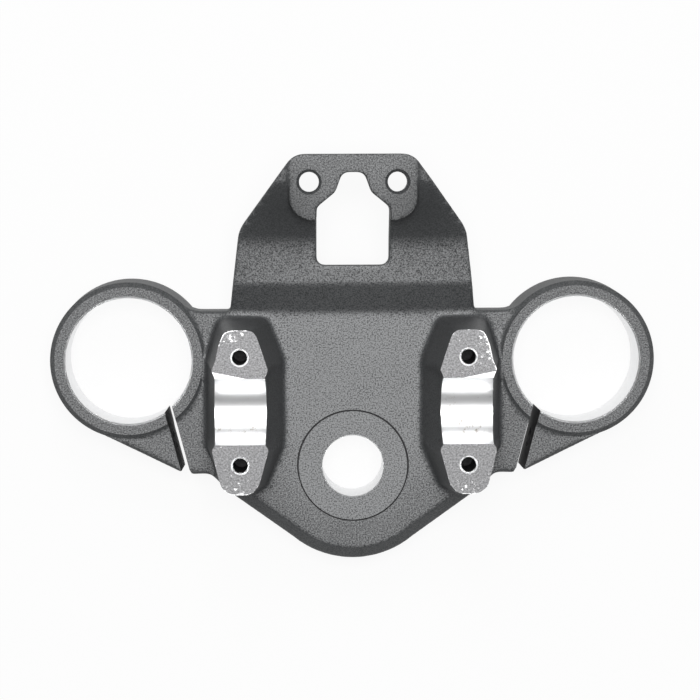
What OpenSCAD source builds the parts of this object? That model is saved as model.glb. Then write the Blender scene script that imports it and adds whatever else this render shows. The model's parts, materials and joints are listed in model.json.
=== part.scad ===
// Top yoke of a motorcycle: one aluminium casting with two fork clamps, the stem boss,
// two handlebar risers and an instrument bracket that sweeps up at the front.
// Origin on the stem bore's axis, level with the ring bottoms. +Y is the bike's front.

/* [Fork clamps] */
// Distance between the two fork tubes' axes
fork_spacing = 153; // [148:1:170]
// How far the fork axes lie in front of the stem axis
fork_forward = 36.5; // [33:0.5:40]
// Bore of each fork clamp
fork_bore_d = 43; // [39:0.5:44]
// Outer radius of a clamp ring just under its top chamfer
ring_r = 26.8; // [26:0.1:28]
// Outer radius of a clamp ring at its foot
ring_foot_r = 27.4; // [27:0.1:29]
// Height of the clamp rings
ring_h = 24; // [22:0.5:28]
// Chamfer round a ring's top
ring_chamfer = 1.6; // [0.8:0.1:2]
// Chamfer round a ring's foot
ring_foot_chamfer = 1; // [0.6:0.1:1.5]
// Chamfer of the machined bores
bore_chamfer = 0.6; // [0.2:0.1:1]
// Width of the slit that lets a clamp close
slit_w = 3; // [2:0.1:4]
// Angle between the slit and the fore and aft line
slit_angle = 14.8; // [12:0.1:18]
// Distance of the slit's middle plane from the fork axis
slit_offset = 8.7; // [6:0.1:10]
// Angle of the clamp ear's outer side
ear_angle = 25.7; // [23:0.1:28]
// Underside of the ears above the ring bottoms
ear_foot_z = 2; // [0:0.5:4]

/* [Pinch bolts] */
// Distance of the bolt's axis from the fork axis
pinch_reach = 31; // [30:0.1:33]
// Height of the bolt's axis
pinch_z = 12; // [10:0.5:14]
// Tapped hole, core of the thread
pinch_tap_d = 5; // [4.2:0.1:6.8]
// Clearance hole through the ear
pinch_clear_d = 6.6; // [5.5:0.1:9]
// Seat for the bolt's head
pinch_head_d = 11; // [9:0.5:12]
// Ear left between the head's seat and the slit
pinch_grip = 8; // [6:0.5:10]
// Depth of the tapped hole past the slit
pinch_tap_depth = 14; // [10:0.5:18]

/* [Plate] */
// Top of the plate and the arms
plate_top_z = 22.5; // [20:0.5:23.5]
// Underside of the plate
plate_foot_z = 6; // [4:0.5:8]
// Front edge of the plate, ahead of the stem axis
plate_front_y = 53.4; // [50:0.2:56]
// Radius of the plate's nose behind the stem
nose_r = 32.3; // [30:0.1:35]
// Angle of the flanks that run to the nose
flank_angle = 35.5; // [32:0.5:38]
// How far a flank lies inside the nose's own tangent
flank_inset = 0.1; // [0.05:0.05:1]
// Bevel along the nose and the flanks
flank_bevel = 4.2; // [2:0.1:5]
// Bevel along the front edge and the ears
rim_bevel = 1.4; // [0.6:0.1:2]
// Radius between the front edge and a ring
arm_blend_r = 9; // [6:0.5:12]
// Rear edge of the block beside the slit
block_rear_y = -2.7; // [-4:0.1:0]
// Where that rear edge turns towards the flank
block_x = 48.5; // [46:0.5:50]
// Tip of the ear, before its corner is rounded
ear_tip_x = 57.5; // [56:0.5:60]
// Where the flank meets the block
flank_end_x = 41.5; // [38:0.5:44]
// Radius at the ear's tip
ear_tip_r = 0.8; // [0.4:0.1:1]
// Radius where the block's rear edge turns
block_corner_r = 3; // [1:0.5:4]
// Radius where the flank meets the block
flank_corner_r = 4; // [2:0.5:6]

/* [Stem] */
// Bore for the steering stem
stem_bore_d = 21; // [17:0.5:26]
// Boss round the stem, down to the ring bottoms
stem_boss_d = 42; // [38:0.5:46]
// Machined face under the stem nut
stem_face_d = 38; // [34:0.5:41]
// Depth of that face below the plate's top
stem_face_depth = 0.5; // [0.3:0.1:1.5]

/* [Handlebar risers] */
// Distance between the risers' bolt lines
riser_spacing = 76; // [70:0.5:82]
// Height of the clamp pads
pad_z = 51; // [44:0.5:58]
// Width of a pad where it is widest
pad_w = 18.8; // [18:0.1:20]
// Width of the bar seat between the pads
cradle_w = 16.4; // [15:0.1:17.5]
// Diameter of the handlebar
bar_d = 22.2; // [22:0.1:22.6]
// Handlebar's axis ahead of the stem axis
bar_y = 21.3; // [18:0.1:24]
// Handlebar's axis above the pads
bar_rise = 1; // [0.5:0.1:2]
// Distance between a riser's two bolts
cap_bolt_spacing = 36; // [34:0.5:40]
// Tapped hole for a cap bolt, core of the thread
cap_tap_d = 5; // [4.2:0.1:6.8]
// Depth of the tapped holes
cap_tap_depth = 20; // [14:1:24]
// Countersink at the top of a tapped hole
cap_sink_d = 6.2; // [5.5:0.1:8]
// Front end of the pads
pad_front_y = 48.4; // [46:0.2:50]
// Rear end of the pads
pad_rear_y = -6.4; // [-9:0.2:-4]
// Half width of a pad's front end, before its corners are rounded
pad_tip_w = 3.4; // [2.5:0.1:5]
// Half width of a pad's rear end, before its corners are rounded
pad_heel_w = 4.1; // [3.6:0.1:6]
// Radius of the corners at the front end
pad_tip_r = 2.4; // [1:0.1:3]
// Radius of the corners at the rear end
pad_heel_r = 4.4; // [2:0.1:5]
// From the seat's front edge to where the front pad is widest
front_cheek = 2.8; // [2:0.1:4]
// From the seat's rear edge to where the rear pad is widest
rear_cheek = 2; // [1.6:0.1:4]
// Lean of a riser's side walls
wall_lean = 3; // [1:0.5:5]
// Lean of a riser's front and rear ends
end_lean = 5; // [3:0.5:8]
// Lean of the faces that cut a riser's corners
corner_lean = 5; // [3:0.5:8]
// Fillet round a riser's foot
riser_fillet_r = 3; // [2:0.5:4]
// How far a riser's rear corner stays inside the plate's edge
riser_inset = 0.3; // [0.2:0.1:1]
// Fillet at the foot of a riser's front end
front_fillet_r = 2.5; // [1:0.1:2.6]

/* [Front bracket] */
// Height of the ridge in front of the plate
ridge_z = 29.5; // [28:0.5:34]
// Ridge, ahead of the stem axis
ridge_y = 63; // [61:0.2:66]
// Bend at the foot of the ramp
bend_y = 77.3; // [75:0.2:80]
// Height of that bend
bend_z = 32.5; // [31:0.5:36]
// Rounding along the ridge
ridge_r = 1.5; // [0.5:0.5:3]
// Sweep at the foot of the ramp
bend_r = 12; // [6:1:16]
// Head of the ramp, ahead of the stem axis
ramp_top_y = 98; // [94:0.5:100]
// Rounding at the head of the ramp
ramp_top_r = 5; // [2:0.5:8]
// Height of the boss that carries the bolts
boss_z = 49; // [44:0.5:54]
// How far the boss stands above the head of the ramp
boss_step = 1; // [0.5:0.1:2]
// Front edge of the bracket
bracket_front_y = 106.7; // [104:0.2:110]
// Half width where the bracket leaves the plate
bracket_root_x = 41.8; // [40:0.2:44]
// Half width at the bend
bracket_bend_x = 38.4; // [36:0.2:40]
// Where the bracket's sides turn inwards, ahead of the stem axis
bracket_turn_y = 81.3; // [78:0.2:84]
// Radius of that turn
bracket_side_r = 12; // [6:1:16]
// Half width of the front edge, before its corners are rounded
bracket_front_x = 19.8; // [17:0.2:24]
// Radius of the corners of the front edge
bracket_front_r = 7; // [3:0.5:9]
// Thickness of the swept sheet
sheet_t = 6; // [4:0.2:8]
// Thickness of the bolt boss
boss_t = 9; // [7:0.5:12]
// Half width of the bolt boss
boss_x = 21.5; // [20:0.2:24]
// Rear ends of the bolt boss
boss_rear_y = 84.5; // [83:0.2:87]
// Radius of those rear ends
boss_r = 8; // [5:0.5:9]
// Distance between the two bolt holes
bracket_hole_spacing = 29.4; // [26:0.2:32]
// Bolt holes, ahead of the stem axis
bracket_hole_y = 97.4; // [95:0.2:100]
// Diameter of the bolt holes
bracket_hole_d = 6.6; // [5.5:0.1:8.5]
// Chamfer round the bolt holes
bracket_sink = 0.9; // [0.4:0.1:1.5]
// Width of the window
window_w = 24.4; // [20:0.2:26]
// Rear edge of the window
window_rear_y = 69.2; // [67:0.2:72]
// Radius of the window's rear corners
window_corner_r = 2.4; // [1:0.2:4]
// Shoulders of the window
window_shoulder_y = 89; // [87:0.2:90]
// Radius of the shoulders
window_shoulder_r = 1.5; // [0.5:0.1:2.5]
// Half width where the shoulders turn up into the bell
window_neck_x = 6; // [5:0.1:7]
// That turn, ahead of the stem axis
window_neck_y = 94; // [93:0.2:95]
// Radius of that turn
window_neck_r = 3; // [1:0.2:4]
// Half width of the bell's top, before it is rounded
window_top_x = 3.6; // [3:0.1:4.5]
// Top of the window's bell
window_top_y = 100.6; // [99:0.2:102]
// Radius of the bell's top corners
window_top_r = 2.5; // [1:0.1:2.8]

/* [Underside] */
// Plate left above the pockets
pocket_roof = 7; // [5:0.5:9]
// Half width of the pockets
pocket_x = 43; // [40:0.5:44]
// Wall round the pockets
pocket_wall = 5; // [4:0.5:7]
// Radius in the pockets' corners
pocket_corner_r = 4; // [2:0.5:5]
// Thickness of the ribs between the pockets
rib_t = 4; // [3:0.5:6]

/* [Hidden] */
$fn = 96;
ARC_STEPS = 6;
PAST = 1;
FAR = 80;
fork_x = fork_spacing / 2;
riser_x = riser_spacing / 2;
bar_z = pad_z + bar_rise;
cradle_half_y = sqrt(pow(bar_d / 2, 2) - pow(bar_rise, 2));
stem_face_z = plate_top_z - stem_face_depth;
ear_normal = [sin(ear_angle), -cos(ear_angle)];
ear_start = [fork_x, fork_forward] + ring_r * ear_normal;
ear_run = norm([ear_tip_x, block_rear_y] - ear_start);
slit_normal = [cos(slit_angle), -sin(slit_angle)];
slit_run = [-sin(slit_angle), -cos(slit_angle)];
pinch_at = [fork_x, fork_forward] - slit_offset * slit_normal + pinch_reach * slit_run;
flank_normal = [sin(flank_angle), -cos(flank_angle)];
blend_y = plate_front_y + arm_blend_r;
blend_x = fork_x - sqrt(pow(ring_r + arm_blend_r, 2) - pow(blend_y - fork_forward, 2));
blend_end = atan2(fork_forward - blend_y, fork_x - blend_x);
flank_foot = (nose_r - flank_inset) * flank_normal;
flank_run = (flank_end_x - flank_foot[0]) / cos(flank_angle);
pocket_z = plate_top_z - pocket_roof;
pocket_rear_y = pocket_wall - nose_r;
pocket_nose_x = (nose_r - flank_inset - flank_normal[1] * (pocket_rear_y - 2 * pocket_wall))
    / flank_normal[0];
cheek_front_y = bar_y + cradle_half_y + front_cheek;
cheek_rear_y = bar_y - cradle_half_y - rear_cheek;
tip_turn = atan2(pad_w / 2 - pad_tip_w, pad_front_y - cheek_front_y);
heel_turn = atan2(pad_w / 2 - pad_heel_w, cheek_rear_y - pad_rear_y);
riser_root_z = plate_top_z - flank_bevel - PAST;
root_y = plate_front_y - 6;
root_z = plate_foot_z + 3;
ramp_top_z = boss_z - boss_step;
under_shift = sheet_t / 3;
sheet_top = [[ridge_y, ridge_z, ridge_r], [bend_y, bend_z, bend_r], [ramp_top_y, ramp_top_z, ramp_top_r]];

// Points of an arc about c, from angle a0 to angle a1
function arc(c, r, a0, a1, n = ARC_STEPS) =
    [for (i = [0:n]) c + r * [cos(a0 + (a1 - a0) * i / n), sin(a0 + (a1 - a0) * i / n)]];

// The corner at p between its neighbours, rounded with radius r
function corner(before, p, after, r) =
    let (
        a = (before - p) / norm(before - p),
        b = (after - p) / norm(after - p),
        half = acos(a * b) / 2,
        c = p + (a + b) / norm(a + b) * r / sin(half),
        s = p + a * r / tan(half) - c,
        e = p + b * r / tan(half) - c,
        a0 = atan2(s[1], s[0]),
        turn = (atan2(e[1], e[0]) - a0 + 540) % 360 - 180
    )
    arc(c, r, a0, a0 + turn);

// A closed outline from [x, y, r] corners, each rounded with its own radius
function rounded(pts) =
    let (n = len(pts), at = [for (p = pts) [p[0], p[1]]])
    [
        for (i = [0:n - 1])
            let (r = pts[i][2])
            each r > 0
                ? corner(at[(i + n - 1) % n], at[i], at[(i + 1) % n], r)
                : [at[i]]
    ];

// Height on the flank's outer line at x
function flank_y(x) = (nose_r - flank_inset - flank_normal[0] * x) / flank_normal[1];

// Both sides of the part, from its right half
module both_sides() {
    children();
    mirror([1, 0, 0]) children();
}

// Wedge that bevels the edge through p whose outward normal is n, size w by w at height z
module edge_bevel(p, n, w, z, back = FAR, ahead = FAR) {
    translate([p[0], p[1], z])
        rotate([0, 0, atan2(n[1], n[0])])
            translate([0, -back, 0])
                rotate([-90, 0, 0])
                    linear_extrude(back + ahead)
                        polygon([[-w - PAST, -PAST], [PAST, -PAST], [PAST, w + PAST]]);
}

// Plan of the plate's right half: arm, clamp ear, block and flank
module plate_plan() {
    polygon(concat(
        [[-PAST, plate_front_y]],
        arc([blend_x, blend_y], arm_blend_r, -90, blend_end),
        [[fork_x, fork_forward], ear_start],
        rounded([
            [ear_tip_x, block_rear_y, ear_tip_r],
            [block_x, block_rear_y, block_corner_r],
            [flank_end_x, flank_y(flank_end_x), flank_corner_r],
            [flank_foot[0], flank_foot[1], 0],
            [-PAST, -PAST, 0]
        ])
    ));
}

// Pockets under the plate, inside its walls, on the right
module pocket_plan() {
    difference() {
        polygon(rounded([
            [-PAST, plate_front_y - pocket_wall, 0],
            [pocket_x, plate_front_y - pocket_wall, pocket_corner_r],
            [pocket_x, block_rear_y + pocket_wall, pocket_corner_r],
            [flank_end_x - pocket_wall, flank_y(flank_end_x) + 2 * pocket_wall, pocket_corner_r],
            [pocket_nose_x, pocket_rear_y, 0],
            [-PAST, pocket_rear_y, 0]
        ]));
        circle(d = stem_boss_d);
        for (a = [90, 45, 0])
            rotate(a) translate([0, -rib_t / 2]) square([FAR, rib_t]);
    }
}

// The right half of the plate, bevelled along its flank
module plate_half() {
    difference() {
        translate([0, 0, plate_foot_z])
            linear_extrude(plate_top_z - plate_foot_z) plate_plan();
        edge_bevel(flank_foot, flank_normal, flank_bevel, plate_top_z, FAR, flank_run);
    }
}

// The round nose behind the stem, bevelled all round
module nose() {
    rotate_extrude()
        polygon([
            [0, plate_foot_z],
            [nose_r, plate_foot_z],
            [nose_r, plate_top_z - flank_bevel],
            [nose_r - flank_bevel, plate_top_z],
            [0, plate_top_z]
        ]);
}

// The plate with its arms, bevelled edges and pockets
module plate() {
    difference() {
        union() {
            nose();
            cylinder(d = stem_boss_d, h = plate_top_z - PAST);
            both_sides() {
                plate_half();
                ear_foot();
            }
        }
        both_sides() {
            edge_bevel(ear_start, ear_normal, rim_bevel, plate_top_z, ear_run + PAST);
            translate([0, 0, plate_foot_z - PAST])
                linear_extrude(pocket_z - plate_foot_z + PAST) pocket_plan();
        }
    }
}

// The ear and the block reach further down than the plate
module ear_foot() {
    translate([0, 0, ear_foot_z])
        linear_extrude(plate_top_z - ear_foot_z - PAST)
            polygon([
                [fork_x, fork_forward],
                ear_start,
                [ear_tip_x, block_rear_y],
                [block_x, block_rear_y],
                [block_x, fork_forward - ring_r / 2]
            ]);
}

// One clamp ring, drafted, with its top and foot bevelled
module fork_ring() {
    translate([fork_x, fork_forward, 0])
        rotate_extrude()
            polygon([
                [0, 0],
                [ring_foot_r - ring_foot_chamfer, 0],
                [ring_foot_r, ring_foot_chamfer],
                [ring_r, ring_h - ring_chamfer],
                [ring_r - ring_chamfer, ring_h],
                [0, ring_h]
            ]);
}

// Bore of a fork clamp, with both its rims chamfered
module fork_bore() {
    translate([fork_x, fork_forward, 0]) {
        translate([0, 0, -PAST]) cylinder(d = fork_bore_d, h = ring_h + 2 * PAST);
        rim_sink(fork_bore_d, bore_chamfer, ring_h);
        mirror([0, 0, 1]) rim_sink(fork_bore_d, bore_chamfer, 0);
    }
}

// Chamfer of width w at the upper rim of a bore that opens at height z
module rim_sink(d, w, z) {
    translate([0, 0, z - w])
        cylinder(d1 = d, d2 = d + 2 * (w + PAST), h = w + PAST);
}

// Slit from the fork bore out through the ear
module clamp_slit() {
    translate([fork_x, fork_forward, -PAST])
        rotate([0, 0, -slit_angle])
            translate([-slit_offset - slit_w / 2, -FAR, 0])
                cube([slit_w, FAR, ring_h + 2 * PAST]);
}

// Pinch bolt: seat and clearance in the ear, tapped hole in the block
module pinch_bolt() {
    translate([pinch_at[0], pinch_at[1], pinch_z])
        rotate([0, 0, -slit_angle])
            rotate([0, 90, 0]) {
                cylinder(d = pinch_clear_d, h = FAR / 2);
                translate([0, 0, pinch_grip + slit_w / 2]) cylinder(d = pinch_head_d, h = FAR / 2);
                translate([0, 0, -pinch_tap_depth - slit_w / 2])
                    cylinder(d = pinch_tap_d, h = pinch_tap_depth + slit_w / 2);
            }
}

// Bore, rim and machined face of the stem
module stem_bore() {
    translate([0, 0, -PAST]) cylinder(d = stem_bore_d, h = plate_top_z + 2 * PAST);
    rim_sink(stem_bore_d, bore_chamfer, stem_face_z);
    translate([0, 0, stem_face_z]) cylinder(d = stem_face_d, h = FAR);
}

// A leaning wall on its foot's fillet, from the foot up to half width w at the pads
function wall_line(w, lean, r) =
    let (c = [w + (r + (pad_z - plate_top_z - r) * sin(lean)) / cos(lean), plate_top_z + r])
    concat([[c[0], riser_root_z]], arc(c, r, -90, lean - 180), [[w, pad_z]]);

// A length of riser along the bike, w wide at the pads
module riser_bar(w, fillet_r, length) {
    rotate([90, 0, 0])
        linear_extrude(length, center = true)
            both_sides()
                polygon(concat(
                    [[-PAST, riser_root_z]],
                    wall_line(w / 2, wall_lean, fillet_r),
                    [[-PAST, pad_z]]
                ));
}

// A riser seen from the side, with the bar seat
module riser_side_view() {
    difference() {
        polygon(concat(
            [
                [pad_rear_y, pad_z],
                [pad_rear_y - (pad_z - riser_root_z) * tan(end_lean), riser_root_z]
            ],
            wall_line(pad_front_y, end_lean, front_fillet_r)
        ));
        translate([bar_y, bar_z]) circle(d = bar_d);
    }
}

// Cuts a riser along an upright face through p, turned in plan and leaning
module riser_corner(p, turn, lean) {
    translate([p[0], p[1], pad_z])
        rotate([0, 0, turn])
            rotate([0, -lean, 0])
                translate([0, -FAR / 2, -FAR]) cube([FAR, FAR, 2 * FAR]);
}

// Cuts one end of a riser to its pad's outline: the side through p, and the corner at p
module riser_end(p, turn, r, way) {
    corner_turn = (turn + 90) / 2;
    inside = r * (1 / sin(corner_turn) - 1);
    riser_corner(p, way * turn, corner_lean);
    riser_corner(p - inside * [cos(corner_turn), way * sin(corner_turn)], way * corner_turn, corner_lean);
}

// A riser's walls: the narrow waist under the seat, and the wider bosses of the two bolts
module riser_walls() {
    overhang = (pad_w - cradle_w) / 2;
    riser_bar(cradle_w, riser_fillet_r + overhang, 2 * FAR);
    for (way = [-1, 1])
        difference() {
            translate([0, bar_y + way * (cradle_half_y + FAR / 2), 0])
                riser_bar(pad_w, riser_fillet_r, FAR);
            both_sides()
                riser_corner(
                    [cradle_w / 2, bar_y + way * cradle_half_y],
                    -way * atan2(overhang, way > 0 ? front_cheek : rear_cheek),
                    wall_lean
                );
        }
}

// The riser's body before it is drilled
module riser_body() {
    difference() {
        intersection() {
            riser_walls();
            rotate([90, 0, 90]) linear_extrude(FAR, center = true) riser_side_view();
        }
        both_sides() {
            riser_end([pad_tip_w, pad_front_y], tip_turn, pad_tip_r, 1);
            riser_end([pad_heel_w, pad_rear_y], heel_turn, pad_heel_r, -1);
        }
    }
}

// What lies outside the plate's edge between the flank and the block
module beyond_block_edge() {
    from = [flank_end_x, flank_y(flank_end_x)];
    to = [block_x, block_rear_y];
    translate([from[0], from[1], 0])
        rotate([0, 0, atan2(to[1] - from[1], to[0] - from[0])])
            translate([-FAR / 2, -FAR + riser_inset, 0]) cube([FAR, FAR, FAR]);
}

// One handlebar riser with its seat and tapped holes
module riser() {
    difference() {
        translate([riser_x, 0, 0]) riser_body();
        beyond_block_edge();
        for (side = [-1, 1])
            translate([riser_x, bar_y + side * cap_bolt_spacing / 2, 0]) {
                translate([0, 0, pad_z - cap_tap_depth]) cylinder(d = cap_tap_d, h = FAR);
                rim_sink(cap_tap_d, (cap_sink_d - cap_tap_d) / 2, pad_z);
            }
    }
}

// The bracket's section along the bike, from the plate up to the boss
module bracket_side_view() {
    top = len(sheet_top) - 1;
    polygon(concat(
        [[root_y, root_z], [root_y, plate_top_z]],
        rounded(concat(
            [[plate_front_y - PAST, plate_top_z, 0]],
            sheet_top,
            [[bracket_front_y, ramp_top_z, 0], [bracket_front_y, ramp_top_z - sheet_t, 0]],
            [for (i = [top:-1:0]) sheet_top[i] + [under_shift, -sheet_t, 0]],
            [[plate_front_y + under_shift, root_z, 0]]
        ))
    ));
}

// A plan that is alike on both sides, from the corners of its right half, rear to front
module mirrored_plan(half) {
    last = len(half) - 1;
    polygon(rounded(concat(
        half,
        [for (i = [last:-1:0]) [-half[i][0], half[i][1], half[i][2]]]
    )));
}

// Plan of the bracket
module bracket_plan() {
    mirrored_plan([
        [bracket_root_x, root_y, 0],
        [bracket_root_x, plate_front_y, 0],
        [bracket_bend_x, bracket_turn_y, bracket_side_r],
        [bracket_front_x, bracket_front_y, bracket_front_r]
    ]);
}

// Plan of the raised boss, before the bracket's own outline trims its front
module boss_plan() {
    mirrored_plan([
        [boss_x, boss_rear_y, boss_r],
        [boss_x, bracket_front_y + PAST, 0]
    ]);
}

// The window: a rectangle with shoulders and a bell over it
module window_plan() {
    mirrored_plan([
        [window_w / 2, window_rear_y, window_corner_r],
        [window_w / 2, window_shoulder_y, window_shoulder_r],
        [window_neck_x, window_neck_y, window_neck_r],
        [window_top_x, window_top_y, window_top_r]
    ]);
}

// The bracket that sweeps up in front of the plate
module bracket() {
    difference() {
        union() {
            intersection() {
                rotate([90, 0, 90])
                    linear_extrude(2 * FAR, center = true) bracket_side_view();
                linear_extrude(FAR) bracket_plan();
            }
            translate([0, 0, boss_z - boss_t])
                linear_extrude(boss_t)
                    intersection() {
                        boss_plan();
                        bracket_plan();
                    }
        }
        linear_extrude(FAR) window_plan();
        for (side = [-1, 1])
            translate([side * bracket_hole_spacing / 2, bracket_hole_y, 0]) {
                cylinder(d = bracket_hole_d, h = FAR);
                rim_sink(bracket_hole_d, bracket_sink, boss_z);
            }
    }
}

// The whole casting with its machined bores
module top_yoke() {
    color([0.36, 0.37, 0.38])
        difference() {
            union() {
                plate();
                bracket();
                both_sides() {
                    fork_ring();
                    riser();
                }
            }
            stem_bore();
            both_sides() {
                fork_bore();
                clamp_slit();
                pinch_bolt();
            }
        }
}

top_yoke();
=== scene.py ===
"""Looks of a motorcycle's top yoke: one aluminium casting under a textured dark coat.

The casting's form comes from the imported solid. Its bores and seats are filled, the risers get their
flared walls, the edges are softened as a mould leaves them, and then the machined faces are cut
crisp again.
"""

import json
import logging
import math
from dataclasses import dataclass, field
from enum import Enum

import bpy
from mathutils import Matrix, Vector


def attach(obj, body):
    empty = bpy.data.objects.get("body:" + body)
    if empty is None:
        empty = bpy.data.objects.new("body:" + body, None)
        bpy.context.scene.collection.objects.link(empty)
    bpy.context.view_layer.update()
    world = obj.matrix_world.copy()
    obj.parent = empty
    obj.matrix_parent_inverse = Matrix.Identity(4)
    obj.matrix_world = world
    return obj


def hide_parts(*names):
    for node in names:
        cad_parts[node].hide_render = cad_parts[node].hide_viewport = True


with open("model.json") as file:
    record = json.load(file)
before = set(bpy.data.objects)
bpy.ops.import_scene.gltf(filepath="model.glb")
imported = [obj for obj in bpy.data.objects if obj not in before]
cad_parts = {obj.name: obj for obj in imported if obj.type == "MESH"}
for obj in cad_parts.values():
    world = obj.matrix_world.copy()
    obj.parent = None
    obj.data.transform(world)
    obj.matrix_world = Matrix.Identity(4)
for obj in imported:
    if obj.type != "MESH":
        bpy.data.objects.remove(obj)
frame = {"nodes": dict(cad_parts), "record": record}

log = logging.getLogger("top_yoke")
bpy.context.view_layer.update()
MM = 0.001
NODE = "top_yoke"
PIECE = "top_yoke_casting"

# Sides of round tools, finer where the edge is long
RING_SIDES = 256
BORE_SIDES = 192
SEAT_SIDES = 160
ROUND_SIDES = 128
HOLE_SIDES = 64
DRILL_SIDES = 48
PLUG_SIDES = 32

# Rays with which a finish looks for edges
EDGE_SAMPLES = 8

# Share of a riser wall's flare that lies above the seat's lowest point
STRAIGHT = 0.33
WAIST = 0.07


def mount(name: str) -> dict:
    """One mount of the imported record.

    Args:
        name: The mount's name.

    Returns:
        The mount's entry.
    """
    return next(m for m in frame["record"]["mounts"] if m["name"] == name)


class Side(Enum):
    """The two halves of the yoke, seen from above with its front at the top."""

    LEFT = -1
    RIGHT = 1


class Skin(Enum):
    """The finishes that the casting's faces take."""

    COAT = 0
    BARE = 1
    PAD = 2
    STEM_FACE = 3
    # Painted shade inside holes, slits and the stem face's groove
    RECESS = 4


def held(value: float) -> float:
    """A value held between 0 and 1.

    Args:
        value: The value.

    Returns:
        The nearest value in that range.
    """
    return min(1, max(0, value))


def deselect() -> None:
    """Nothing stays selected, so that the next operator touches only its own piece."""
    if bpy.context.object is not None and bpy.context.object.mode != "OBJECT":
        bpy.ops.object.mode_set(mode="OBJECT")
    bpy.ops.object.select_all(action="DESELECT")


def pick(*objects: bpy.types.Object) -> None:
    """Selects these objects and makes the first one active.

    Args:
        objects: What the next operator works on.
    """
    deselect()
    for piece in objects:
        piece.select_set(True)
    bpy.context.view_layer.objects.active = objects[0]


def place_in_mesh(piece: bpy.types.Object) -> bpy.types.Object:
    """Moves a piece's place into its mesh, so that its object sits at the origin.

    Args:
        piece: The piece.

    Returns:
        The same piece.
    """
    pick(piece)
    bpy.ops.object.transform_apply(location=True, rotation=True, scale=True)
    return piece


def joined(pieces: list[bpy.types.Object], name: str) -> bpy.types.Object:
    """Joins pieces into one object.

    Args:
        pieces: What is joined.
        name: The joined object's name.

    Returns:
        The joined object.
    """
    pick(*pieces)
    if len(pieces) > 1:
        bpy.ops.object.join()
    whole = bpy.context.object
    whole.name = name
    return whole


def modify(piece: bpy.types.Object, kind: str, **settings: object) -> bpy.types.Object:
    """Adds a modifier to a piece and applies it.

    Args:
        piece: The piece.
        kind: The modifier's type.
        settings: Its settings by name.

    Returns:
        The same piece.
    """
    pick(piece)
    modifier = piece.modifiers.new(kind.lower(), kind)
    for key, value in settings.items():
        setattr(modifier, key, value)
    bpy.ops.object.modifier_apply(modifier=modifier.name)
    return piece


def rod(radius: float, low: Vector, high: Vector, sides: int = ROUND_SIDES) -> bpy.types.Object:
    """A round rod between two points.

    Args:
        radius: Its radius.
        low: One end.
        high: The other end.
        sides: How many sides it has.

    Returns:
        The rod, with its place in its mesh.
    """
    run = high - low
    deselect()
    bpy.ops.mesh.primitive_cylinder_add(
        vertices=sides,
        radius=radius,
        depth=run.length,
        end_fill_type="TRIFAN",
        location=(low + high) / 2,
        rotation=run.to_track_quat("Z", "Y").to_euler(),
    )
    return place_in_mesh(bpy.context.object)


def taper(low_r: float, high_r: float, low: Vector, height: float,
          sides: int = ROUND_SIDES) -> bpy.types.Object:
    """An upright cone's frustum.

    Args:
        low_r: Radius at its foot.
        high_r: Radius at its top.
        low: Middle of its foot.
        height: Its height.
        sides: How many sides it has.

    Returns:
        The frustum, with its place in its mesh.
    """
    deselect()
    bpy.ops.mesh.primitive_cone_add(
        vertices=sides,
        radius1=low_r,
        radius2=high_r,
        depth=height,
        end_fill_type="TRIFAN",
        location=low + Vector((0, 0, height / 2)),
    )
    return place_in_mesh(bpy.context.object)


def block(size: Vector, centre: Vector, turn: float = 0.0) -> bpy.types.Object:
    """A box turned about the upright axis.

    Args:
        size: Its three sizes.
        centre: Its centre.
        turn: Its turn in radians.

    Returns:
        The box, with its place in its mesh.
    """
    deselect()
    bpy.ops.mesh.primitive_cube_add(size=1, location=centre, rotation=(0, 0, turn))
    bpy.context.object.scale = size
    return place_in_mesh(bpy.context.object)


def loft(low: list[Vector], high: list[Vector]) -> bpy.types.Object:
    """A closed solid between two outlines with as many corners each.

    Args:
        low: The lower outline's corners.
        high: The upper outline's corners.

    Returns:
        The solid.
    """
    deselect()
    bpy.ops.mesh.primitive_cylinder_add(vertices=len(low), radius=MM, depth=MM)
    solid = bpy.context.object
    vertices = list(solid.data.vertices)
    for first, outline in enumerate((low, high)):
        for vertex, corner in zip(vertices[first::2], outline):
            vertex.co = corner
    pick(solid)
    bpy.ops.object.mode_set(mode="EDIT")
    bpy.ops.mesh.select_all(action="SELECT")
    bpy.ops.mesh.normals_make_consistent(inside=False)
    bpy.ops.object.mode_set(mode="OBJECT")
    return solid


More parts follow.
